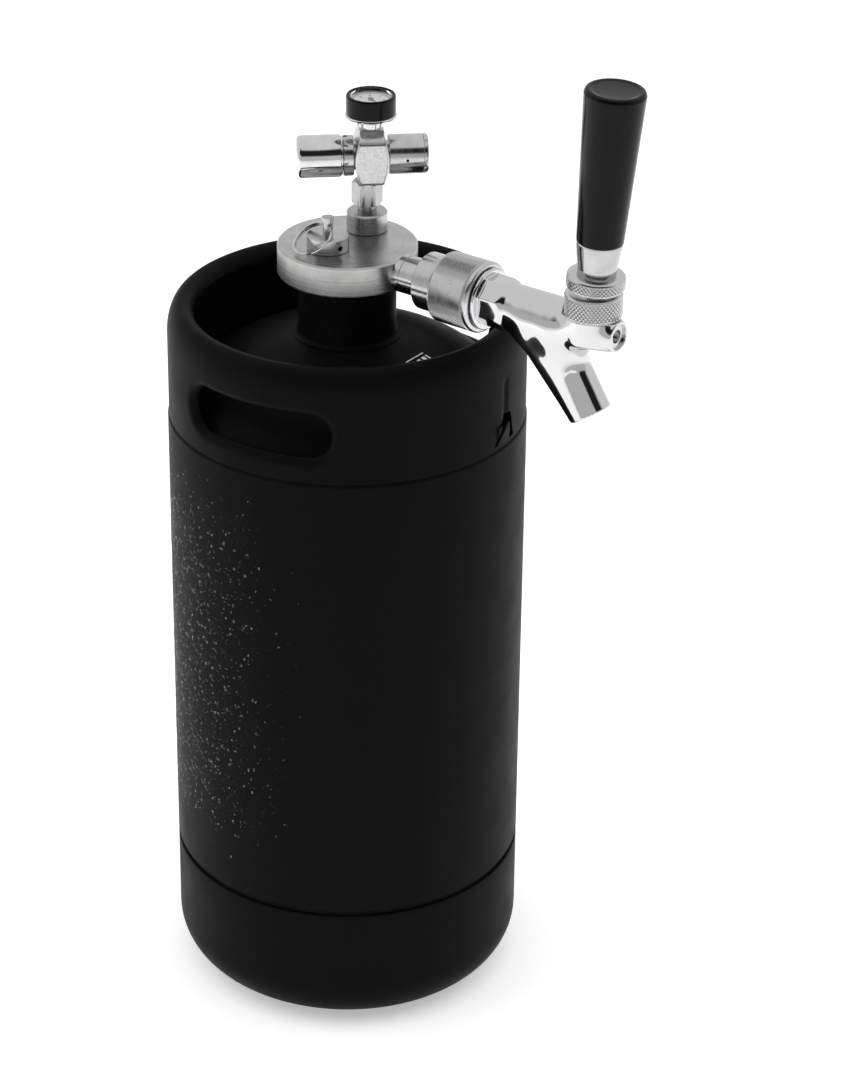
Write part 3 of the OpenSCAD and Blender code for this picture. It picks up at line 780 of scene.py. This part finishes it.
def spout_field(metal, p):
    """The casting with its spout: two bars run together, cut level at the mouth, with two side panels."""
    side = p[:, 0]
    height = (p - MOUTH) @ SPOUT_UP
    front = (p - MOUTH) @ SPOUT_FRONT
    tip = MOUTH - 6 * SPOUT_UP
    spout = taper(p, tip, MOUTH + 37 * SPOUT_UP, 8.9, 9.3)
    web = taper(p, tip - 0.4 * SPOUT_FRONT, MOUTH + 42 * SPOUT_UP - 9 * SPOUT_FRONT, 8.6, 8.8)
    metal = smooth_union(metal, smooth_union(spout, web, 3), 10)
    metal = smooth_meet(metal, -height, 0.8)
    for hand in (-1, 1):
        out = hand * side * math.cos(PANEL) + front * math.sin(PANEL)
        over = front * math.cos(PANEL) - hand * side * math.sin(PANEL)
        window = np.hypot(over, np.maximum(height - 17.5, 0)) - 3.9
        metal = smooth_cut(metal, np.maximum(8.5 - out, window), 0.25)
    return metal


def faucet_bores(metal, p, off, along, boss_off):
    """The casting with its inlet, seat, chamber, bonnet and spout bored out, and room for the bonnet."""
    height = (p - MOUTH) @ SPOUT_UP
    spout_off = np.linalg.norm(p - MOUTH - height[:, None] * SPOUT_UP, axis=1)
    metal = smooth_cut(metal, bar(off, along, 8.4, 60, 84), 0.5)
    metal = smooth_cut(metal, bar(off, along, 4.6, 80, 90), 0.5)
    metal = smooth_cut(metal, bar(off, along, 5.6, 87, 160), 0.6)
    metal = smooth_cut(metal, bar(boss_off, p[:, 2], 5.8, TAP_Z, 400), 0.5)
    metal = smooth_cut(metal, bar(spout_off, height, 5.5, -9, 14), 0.6)
    metal = smooth_cut(metal, bar(spout_off, height, 5.0, -9, 43), 0.6)
    bonnet_room = np.maximum(10.8 - boss_off, SKIRT_Z - p[:, 2])
    return smooth_cut(metal, np.maximum(bonnet_room, boss_off - 13.1), 0.2)


def faucet_field(p):
    """The casting: flange, spanner flats, flared tube, boss, front guide and spout, less its bores."""
    side = p[:, 0]
    along = -p[:, 1]
    up = p[:, 2] - TAP_Z
    off = np.hypot(side, up)
    boss_off = np.hypot(side, along - PIVOT_Y)
    flare_r = 10.2 + 2.3 * soft_step((92.5 - along) / 6) + 1.5 * soft_step((80.2 - along) / 1.6)
    flare_r = flare_r - 1.9 * soft_step((77.8 - along) / 0.4)
    tube = bar(off, along, flare_r, FLANGE, 134, 5)
    tube = smooth_meet(tube, np.minimum(spanner_flats(side, up), along - 79.4), 0.35)
    tube = np.minimum(tube, bar(off, along, 13.5, FLANGE, 72.7, 0.3))
    boss = bar(boss_off, p[:, 2], 11, TAP_Z - 5, 400, 2)
    metal = smooth_union(tube, boss, 5)
    metal = smooth_union(metal, bar(off, along, 6.9, 118, FAUCET_END, 0.5), 5)
    metal = spout_field(metal, p)
    metal = faucet_bores(metal, p, off, along, boss_off)
    return np.maximum(metal, p[:, 2] - BOSS_TOP)


def faucet_body():
    cast("faucet", faucet_field, (-14.5, -147.5, 323), (14.5, -68, 380.5), 0.5, KEG, "head", "chrome",
         body_chrome, "faucet_body")


def coupling_nut():
    """The knurled nut, in the tap's frame: its height is the distance from the keg's axis."""
    below = [(13.9, 55.3), (15.2, 55.3), (15.9, 55.9)]
    above = [(16.1, 74.0), (15.5, 74.3), (15.5, 74.8), (16.1, 75.1), (16.1, 75.7), (15.9, 76.3),
             (15.4, 76.8), (14.7, 77), (13.2, 77), (12.7, 76.7), (12.4, 76.2), (12.4, 74), (13.9, 74)]
    made("knurled_nut", knurled(below, above, 16.1, 56.5, 73.3, 76, 1.3, 0.42), TAP, "coupling_nut",
         "knurled_steel", knurl_chrome, "coupling_nut")


def bonnet():
    """The knurled bonnet that holds the lever in the boss."""
    below = [(10.9, SKIRT_Z), (11.8, SKIRT_Z), (12.4, SKIRT_Z + 0.3)]
    above = [(12.7, 381.9), (12.5, 382.5), (11.9, 382.9), (11.2, 383), (8, 383), (5.3, 381.9),
             (5.3, 381.7), (10.9, 381.7)]
    at = placed((0, -PIVOT_Y * MM, 0), UP, (1, 0, 0))
    made("knurled_bonnet", knurled(below, above, 12.7, SKIRT_Z + 0.9, 381.4, 42, 1.9, 0.5), at, "head",
         "knurled_steel", knurl_chrome, "faucet_bonnet")


def lever_collar():
    """The knurled collar under the handle."""
    below = [(3.6, 7.1), (11.6, 7.1), (12.4, 7.4)]
    above = [(12.9, 12.2), (12.7, 12.8), (12.2, 13.3), (11.3, 13.65), (10, 13.85), (8.4, 13.9),
             (3.6, 13.9)]
    made("knurled_collar", knurled(below, above, 12.9, 7.9, 11.7, 42, 1.9, 0.5), LEVER, "lever",
         "knurled_steel", knurl_chrome, "lever_collar")


def ferrule():
    """The handle's conical metal foot."""
    outline = rounded([(3.6, 13.9), (8.3, 13.9), (8.5, 14.6, 0.3), (10.1, 28.0, 0.3), (10.0, 28.6),
                       (3.6, 28.6)])
    made("ferrule", turned(outline, 128, True), LEVER, "lever", "chrome", lever_steel, "handle_ferrule")


def handle():
    """The tapered black handle, with the stud's blind hole in its foot."""
    outline = rounded([
        (3.6, 28.6), (9.9, 28.6), (10.25, 29.2, 0.4), (13.3, 95.8, 0.6), (12.6, 97.3, 0.9),
        (11.2, 97.6, 0.9), (9.6, 97.2, 1.5), (0, 96.7),
    ])
    outline += [(0, 41), (3.6, 41)]
    made("handle", turned(outline, 128, True), LEVER, "lever", "black_plastic", gloss_black, "tap_handle")


def lever():
    """The lever in one turning: ball end, throat, pivot ball, waist and threaded stud."""
    outline = [(0, -15.35)] + arc((0, -13), (2.35, 2.35), -90, 50, 9)
    outline.append((1.5, -10.6))
    for i in range(13):
        a = math.radians(16.1 + 127 * i / 12)
        outline.append((5.4 * math.sin(a), -5.4 * math.cos(a)))
    outline += [(3.2, 6.6), (3.6, 7.1), (3.6, 40.4), (3.1, 41), (0, 41)]
    made("lever", turned(outline, 64), LEVER, "lever", "turned_steel", lever_steel, "tap_lever")


# ---- Regulator ----

HALF_ROOT = 0.7071


def regulator_field(p):
    """A barrel-sided plated block, octagonal at the top under the gauge, in the regulator's frame."""
    up = p[:, 0]
    side = p[:, 1]
    along = p[:, 2]
    across = np.abs(along - 1.55)
    half = np.maximum(7.75 - 0.02 * up * up, np.where(up > 0, 5.6, 0))
    depth = np.abs(side)
    block = smooth_meet(across - half, depth - 11, 0.4)
    block = smooth_meet(block, -up - 10.9, 0.8)
    block = smooth_meet(block, up - 13.3, 0.4)
    block = smooth_meet(block, (across - half + depth - 11 + 0.9) * HALF_ROOT, 0.3)
    block = smooth_meet(block, (-up - 10.9 + depth - 11 + 1.0) * HALF_ROOT, 0.3)
    block = smooth_meet(block, 0.8 * (depth - 11) + 0.6 * (up - 8.2), 0.3)
    block = smooth_meet(block, 0.64 * (depth - 9.3) + 0.77 * (up - 10.4), 0.3)
    stem = bar(np.hypot(along, side), up, 4.4, -17.2, -9, 0.4)
    boss = bar(np.hypot(along - 1.6, side), up, 5.3, 6, 13.8, 0.3)
    block = np.minimum(smooth_union(block, stem, 0.8), boss)
    # The bores: spring side, cartridge side and the passages between them and to the stem and gauge
    off = np.hypot(up, side)
    block = smooth_cut(block, bar(off, along, 6.6, -16, 3, 0.2), 0.3)
    block = smooth_cut(block, bar(off, along, 6.2, 5.4, 20, 0.2), 0.3)
    block = smooth_cut(block, off - 1.2, 0.3)
    block = smooth_cut(block, np.maximum(np.hypot(along, side) - 1.5, up), 0.3)
    return smooth_cut(block, np.maximum(np.hypot(along - 1.6, side) - 1.5, -up), 0.3)


def regulator_body():
    cast("regulator", regulator_field, (-18, -12, -8), (15, 12, 11), 0.35, REG, "head", "forged_body",
         forged, "regulator_body")


def knob():
    """The plain round knob with its crowned end, and the screw inside it that presses the spring."""
    outline = [(0, -32.35), (4, -32.3), (6.6, -32.1), (8.0, -31.8), (8.8, -31.3), (9.35, -30.6),
               (9.6, -29.9), (9.6, -12.6), (9.45, -12.2), (9.0, -12.0), (9.0, -11.7), (8.8, -11.4),
               (7.0, -11.4), (7.0, -15.4), (2.4, -15.4), (2.4, -9.6), (2.1, -9.5), (0, -9.5)]
    made("knob", turned(outline), REG, "pressure_knob", "chrome", knob_chrome, "pressure_knob")


def socket_ring():
    """The socket's end ring, with four shallow notches in its outer edge."""
    def shape(angle, r, z):
        past_notch = (math.degrees(angle) - 30) % 90
        notch = min(past_notch, 90 - past_notch) < 7
        return 7.7 if notch and r > 7.8 and z > 25.6 else r

    outline = [(5.2, 25.1), (8.9, 25.1), (8.9, 26.4), (8.6, 26.9), (8.2, 27.1), (5.6, 27.1), (5.2, 26.7)]
    made("socket_ring", turned(outline, 180, True, shape), REG, "head", "turned_steel", reg_steel,
         "socket_end_ring")


def hex_nut():
    """A hexagon with its corners turned off at both ends."""
    flat_r = 7.05
    turn = math.radians(60)

    def shape(angle, r, z):
        if r < 5:
            return r
        return min(flat_r * math.cos(turn / 2) / math.cos(angle % turn - turn / 2), r)

    outline = [(4.5, 0), (6.2, 0), (flat_r, 0.5), (flat_r, 10.3), (6.2, 10.8), (4.5, 10.8)]
    axis = joint("swivel_nut_turn")["pos_m"]
    at = placed((axis[0], axis[1], CAP_TOP + 12.9 * MM), UP, polar(1, -50 + 90, 0))
    made("hex_nut", turned(outline, 180, True, shape), at, "swivel_nut", "turned_steel", inlet_steel,
         "swivel_nut")


# ---- Gauge ----

# Heights in this section count from the gauge's underside, which is GAUGE_LOW from the needle's joint
GAUGE_LOW = 426.5 - GAUGE_POS.z * 1000


def on_gauge(outline):
    return [(r, z + GAUGE_LOW) for r, z in outline]


def gauge_ring():
    """The black ring round the dial."""
    outline = rounded([
        (9.4, 1.5), (11.1, 1.5), (11.2, 2.2, 0.3), (11.2, 9.6, 0.35), (11.05, 9.9), (10.9, 10.2),
        (10.5, 10.4, 0.3), (10.15, 10.3), (10.1, 9.2), (10.55, 9.1), (10.55, 1.9),
    ], 4)
    made("gauge_ring_black", turned(on_gauge(outline), 144, True), GAUGE, "head", "black_plastic",
         gloss_black, "gauge_ring")


def gauge_flange():
    """The case: its stem, the bright flange under the black ring and the body inside it."""
    outline = [(0, -4.5), (5.35, -4.5), (5.35, 0), (10.9, 0), (11.5, 0.25), (11.65, 0.7), (11.5, 1.15),
               (11.2, 1.4), (10.5, 1.5), (10.5, 6.3), (0, 6.3)]
    made("gauge_flange", turned(on_gauge(outline), 144), GAUGE, "head", "chrome", body_chrome,
         "gauge_case")


def gauge_glass():
    """The clear window, whose polished rim stands in the ring's mouth."""
    outline = [(0, 8.3), (10.3, 8.3), (10.3, 9.3), (10.1, 9.9), (9.6, 10.15), (9.1, 9.7), (8.8, 9.2),
               (0, 9.2)]
    made("gauge_glass", turned(on_gauge(outline), 144), GAUGE, "head", "clear_lens", glass, "gauge_lens")


# The strokes of a digit, as the x and y of both ends in a unit box
STROKES = {
    "top": (0, 1, 1, 1), "upper_left": (0, 0.5, 0, 1), "upper_right": (1, 0.5, 1, 1),
    "middle": (0, 0.5, 1, 0.5), "lower_left": (0, 0, 0, 0.5), "lower_right": (1, 0, 1, 0.5),
    "foot": (0, 0, 1, 0),
}
DIGITS = {
    "0": "top upper_left upper_right lower_left lower_right foot",
    "1": "upper_right lower_right",
    "2": "top upper_right middle lower_left foot",
    "3": "top upper_right middle lower_right foot",
    "4": "upper_left upper_right middle lower_right",
    "5": "top upper_left middle lower_right foot",
    "6": "top upper_left middle lower_left lower_right foot",
}
INK_T = 0.07
DIAL_FACE = 6.9 + GAUGE_LOW
TICKS = 30
NUMBERS = 6


def digit(bm, number, at):
    """Adds one digit's strokes, from its lower left corner."""
    width = 0.9
    height = 1.5
    half = 0.1
    for name in DIGITS[number].split():
        x0, y0, x1, y1 = STROKES[name]
        low = (x0 * width - half, y0 * height - half, 0)
        high = (x1 * width + half, y1 * height + half, INK_T)
        plate(bm, low, high, at)


def dial_marks():
    """Ticks, an arc and plain numbers over 270 degrees of the dial."""
    bm = bmesh.new()
    face = Matrix.Translation((0, 0, DIAL_FACE))
    for i in range(TICKS + 1):
        turn = Matrix.Rotation(math.radians(-45 + 270 / TICKS * i), 4, "Z")
        inner = 7.4 if i % 5 == 0 else 8.0
        plate(bm, (inner, -0.09, 0), (8.7, 0.09, INK_T), face @ turn)
    for i in range(NUMBERS + 1):
        a = math.radians(225 - 270 / NUMBERS * i)
        at = Matrix.Translation((5.9 * math.cos(a) - 0.5, 5.9 * math.sin(a) - 0.7, DIAL_FACE))
        digit(bm, str(i), at)
    for i in range(90):
        turn = Matrix.Rotation(math.radians(-45 + 3 * i), 4, "Z")
        plate(bm, (8.75, -0.24, 0), (8.9, 0.24, INK_T), face @ turn)
    made("dial_marks", bm, GAUGE, "head", "needle_black", needle_black)


# ---- Relief valve's ring ----

def pull_ring():
    """A split ring: a wire wound nearly twice round, threaded through the stem's eye."""
    bm = bmesh.new()
    steps = 150
    turns = 1.93
    wire = 0.5
    ring_r = 9.3
    sections = []
    for i in range(steps + 1):
        a = 2 * math.pi * turns * i / steps
        # The wire's middle climbs one wire's thickness where it steps over its own start
        lift = wire * (2 * ease((a - 2.6) / 1.1) - 1) if a < 2 * math.pi else wire
        out = Vector((math.cos(a), math.sin(a), 0))
        end = min(i, steps - i)
        thick = wire * (1 if end > 1 else 0.55 + 0.35 * end)
        sections.append((Vector((ring_r * math.cos(a), ring_r * math.sin(a), lift)), out, thick))
    swept(bm, sections, 10)
    at = Matrix.Translation(RELIEF_POS) @ Matrix.Rotation(math.radians(-18.6), 4, "Z")
    at = at @ Matrix.Rotation(math.radians(-33), 4, "Y") @ Matrix.Translation((-ring_r * MM, 0, 0))
    made("split_ring", bm, at, "pull_ring", "chrome", body_chrome, "pull_ring")


# ---- Springs ----

def spring(name, radius, wire, height, turns, at, replaced):
    """A coil standing on its frame's origin: radius is out to the wire's middle, wire its own radius."""
    bm = bmesh.new()
    steps = int(turns * 36)
    sections = []
    for i in range(steps + 1):
        a = 2 * math.pi * turns * i / steps
        out = Vector((math.cos(a), math.sin(a), 0))
        rise = wire + (height - 2 * wire) * i / steps
        sections.append((Vector((radius * math.cos(a), radius * math.sin(a), rise)), out, wire))
    swept(bm, sections, 12)
    made(name, bm, at, "head", "spring_steel", spring_steel, replaced)


def springs():
    relief_foot = placed((RELIEF_POS.x, RELIEF_POS.y, CAP_TOP - 3.1 * MM), UP)
    spring("relief_coil", 3.2, 0.4, 8.8, 6, relief_foot, "relief_spring")
    spring("range_coil", 4, 0.5, 8.1, 5, REG @ Matrix.Translation((0, 0, -7.6 * MM)), "range_spring")


# ---- Water on the wall and the shoulder's mark ----

DROPS_TRIED = 9000
# Where droplets may lie: the first bearing and height, and how far on from them
DROP_FIRST = (-141, 84)
DROP_SPAN = (88, 205)
DROP_LEAST = 0.14
DROP_MORE = 0.5
DROP_SIDES = 10
DROP_RISES = (0, 35, 65)
DROP_FLATNESS = 0.45


def bead(bm, at, long, wide):
    """Adds a flattened half bead, long in its frame's x, with a flat face on the wall."""
    turns = [math.radians(360 * k / DROP_SIDES) for k in range(DROP_SIDES)]
    tall = wide * DROP_FLATNESS
    rings = []
    for rise in DROP_RISES:
        flat = math.cos(math.radians(rise))
        height = tall * math.sin(math.radians(rise))
        ring = [Vector((long * flat * math.cos(a), wide * flat * math.sin(a), height)) for a in turns]
        rings.append([bm.verts.new(at @ point) for point in ring])
    top = bm.verts.new(at @ Vector((0, 0, tall)))
    for k in range(DROP_SIDES):
        n = (k + 1) % DROP_SIDES
        for low, high in zip(rings, rings[1:]):
            bm.faces.new((low[k], low[n], high[n], high[k]))
        bm.faces.new((rings[-1][k], rings[-1][n], top))
    bm.faces.new(list(reversed(rings[0])))


def droplets():
    """Condensation on the wall's left side, dense at the left and thinning to the right."""
    chance = random.Random(7)
    bm = bmesh.new()
    for _ in range(DROPS_TRIED):
        bearing = DROP_FIRST[0] + DROP_SPAN[0] * chance.random()
        z = DROP_FIRST[1] + DROP_SPAN[1] * chance.random()
        keep = ease((-60 - bearing) / 55) ** 1.5 * ease((288 - z) / 60) * ease((z - 80) / 40)
        size = DROP_LEAST + DROP_MORE * chance.random() ** 6
        long = size * (1 + 0.6 * chance.random())
        if chance.random() <= keep:
            at = placed(polar(BODY_R - 0.02, bearing, z), polar(1, bearing, 0), UP)
            bead(bm, at, long, size)
    made("droplets", bm, KEG, "keg", "clear_lens", water)


# Each bar of the mark: radius and bearing of its middle, its length round the dome and its width
MARK_BARS = ((37.5, 1, 13, 0.5), (40.8, -4, 0.8, 3), (40.8, 1, 2, 3), (40.8, 6, 2, 3), (40.8, 10, 0.8, 3))
MARK_T = 0.12
DOME_FALL = -0.36


def shoulder_mark():
    """A plain printed mark in the place of the capacity label."""
    bm = bmesh.new()
    for radius, bearing, length, width in MARK_BARS:
        across = polar(1, bearing + 90, 0)
        slope = polar(1, bearing, DOME_FALL)
        at = placed(polar(radius, bearing, dome_z(radius) + 0.02), across.cross(slope) * -1, across)
        plate(bm, (-length / 2, -width / 2, 0), (length / 2, width / 2, MARK_T), at)
    made("shoulder_mark", bm, KEG, "keg", "white_dial", dial_white)


handle_collar()
shell()
skirt()
shoulder()
neck()
faucet_body()
coupling_nut()
bonnet()
lever_collar()
ferrule()
handle()
lever()
regulator_body()
knob()
socket_ring()
hex_nut()
gauge_ring()
gauge_flange()
gauge_glass()
dial_marks()
pull_ring()
springs()
droplets()
shoulder_mark()
for node_name in ("gas_inlet_fitting", "relief_boss", "relief_stem", "spring_bonnet", "cartridge_socket",
                  "beer_shank", "shank_collar", "shaft_guide"):
    smoothed(node_name, "turned_steel", CAD_LOOK[node_name])
smoothed("dispenser_cap", "brushed_cap_steel", cap_steel)


# ---- Studio ----

def area_light(name, position, target, width, height, power):
    """A softbox, left out of sharp reflections, which show the plain room instead."""
    data = bpy.data.lights.new(name, "AREA")
    data.shape = "RECTANGLE"
    data.size = width
    data.size_y = height
    data.energy = power
    light = bpy.data.objects.new(name, data)
    light.visible_glossy = False
    light.location = position
    light.rotation_euler = (Vector(target) - Vector(position)).to_track_quat("-Z", "Y").to_euler()
    bpy.context.scene.collection.objects.link(light)
    return light


ROOM_LIGHT = 0.8
CAMERA_BEARING = -52.5
CAMERA_PITCH = 27.63
CAMERA_DISTANCE = 1.4126
CAMERA_HEIGHT = 0.9605
# How bright the room's front is by the sine of the elevation
FRONT_STOPS = ((0.0, 0.75), (0.3, 0.7), (0.38, 0.02), (0.74, 0.02), (0.84, 1.0))


def room(world):
    """White all round but in front, on the photo's side, where it has a dark band part of the way up."""
    facing = node(world, "ShaderNodeTexCoord").outputs["Generated"]
    height = node(world, "ShaderNodeSeparateXYZ", {"Vector": facing}).outputs["Z"]
    ahead = node(world, "ShaderNodeVectorMath", {0: facing, 1: polar(1, CAMERA_BEARING, 0)},
                 operation="DOT_PRODUCT").outputs["Value"]
    elsewhere = node(world, "ShaderNodeMapRange", {"Value": ahead, "From Min": 0.2, "From Max": 0.42,
                                                   "To Min": 1, "To Max": 0}).outputs["Result"]
    ramp = node(world, "ShaderNodeValToRGB", {"Fac": height})
    while len(ramp.color_ramp.elements) < len(FRONT_STOPS):
        ramp.color_ramp.elements.new(1.0)
    for element, (place, level) in zip(ramp.color_ramp.elements, FRONT_STOPS):
        element.position = place
        element.color = (level, level, level, 1)
    lit = node(world, "ShaderNodeMath", {0: ramp.outputs["Color"], 1: elsewhere}, operation="MAXIMUM")
    background = world.node_tree.nodes["Background"]
    world.node_tree.links.new(lit.outputs["Value"], background.inputs["Color"])
    background.inputs["Strength"].default_value = ROOM_LIGHT


def studio():
    """The pale floor, the room round it and three softboxes."""
    floor_size = 12.0
    bm = bmesh.new()
    bmesh.ops.create_grid(bm, x_segments=1, y_segments=1, size=floor_size / 2)
    mesh = bpy.data.meshes.new("studio_floor")
    bm.to_mesh(mesh)
    bm.free()
    floor = bpy.data.objects.new("studio_floor", mesh)
    bpy.context.scene.collection.objects.link(floor)
    white = plain_fine("floor_white", (0.86, 0.86, 0.86), 0.0, 0.8, grain=900, strength=0.02,
                       Emission_Color=(1, 1, 1, 1), Emission_Strength=0.4)
    mesh.materials.append(white)
    world = bpy.data.worlds.new("studio")
    world.use_nodes = True
    room(world)
    bpy.context.scene.world = world
    middle = (0, 0, 0.25)
    area_light("left_softbox", polar(1.6, -140, 0.9), middle, 1.8, 2.2, 13)
    area_light("right_softbox", polar(1.6, 45, 0.9), middle, 0.7, 1.6, 4)
    area_light("top_softbox", (-0.2, -0.3, 2.4), middle, 3.2, 3.2, 26)
    bpy.context.scene.view_settings.view_transform = "Standard"


def camera():
    """The photo's view, from its solved camera."""
    data = bpy.data.cameras.new("camera")
    data.sensor_width = 36.0
    data.lens = 113.2
    data.shift_x = 0.0783
    data.clip_end = 50
    cam = bpy.data.objects.new("camera", data)
    cam.location = polar(CAMERA_DISTANCE, CAMERA_BEARING, CAMERA_HEIGHT)
    cam.rotation_euler = (math.radians(90 - CAMERA_PITCH), 0, math.radians(CAMERA_BEARING))
    bpy.context.scene.collection.objects.link(cam)
    bpy.context.scene.camera = cam


studio()
camera()
